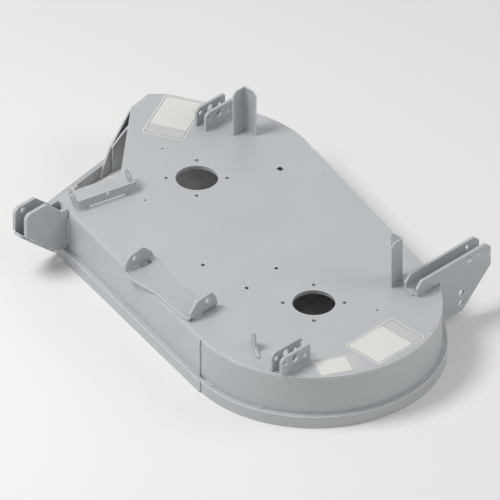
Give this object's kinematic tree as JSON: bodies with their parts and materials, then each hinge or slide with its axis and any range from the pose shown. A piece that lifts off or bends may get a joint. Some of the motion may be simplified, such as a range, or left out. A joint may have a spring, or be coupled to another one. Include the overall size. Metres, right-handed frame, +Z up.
{
  "type": "lawn mower deck",
  "caption": "Welded sheet steel mower deck with side discharge opening, spindle holes, reinforced bottom rim, hinge bracket for a chute, lift lugs and wheel brackets.",
  "frame": {"origin": "centre of the right spindle hole, on the top face of the deck", "axes": "+X towards the operator's left along the deck, +Y to the rear, +Z up; the discharge opening is on the -X side"},
  "size_m": [1.1312, 0.7426, 0.246],
  "materials": {
    "deck_coat": "satin powder coat on sheet steel",
    "bracket_coat": "satin powder coat on plate steel",
    "label_film": "plain printed film"
  },
  "bodies": {
    "root": {"deck_plate": "deck_coat", "left_chamber_wall": "deck_coat", "right_chamber_wall": "deck_coat", "rear_wall": "deck_coat", "right_rear_wall": "deck_coat", "discharge_front_return": "deck_coat", "front_band": "deck_coat", "left_band": "deck_coat", "rear_band": "deck_coat", "right_band": "deck_coat", "right_spindle_doubler": "deck_coat", "left_spindle_doubler": "deck_coat", "front_bracket_left_plate": "bracket_coat", "front_bracket_right_plate": "bracket_coat", "front_bracket_sole": "bracket_coat", "chute_hinge_bracket": "bracket_coat", "hanger_saddle": "bracket_coat", "rear_lug_left": "bracket_coat", "rear_lug_right": "bracket_coat", "front_lug_left": "bracket_coat", "front_lug_right": "bracket_coat", "right_guard_angle": "bracket_coat", "left_guard_angle": "bracket_coat", "rear_bracket_gusset": "bracket_coat", "rear_bracket_channel": "bracket_coat", "spring_anchor": "bracket_coat", "discharge_label": "label_film", "left_label": "label_film", "small_label": "label_film"}
  },
  "joints": []
}
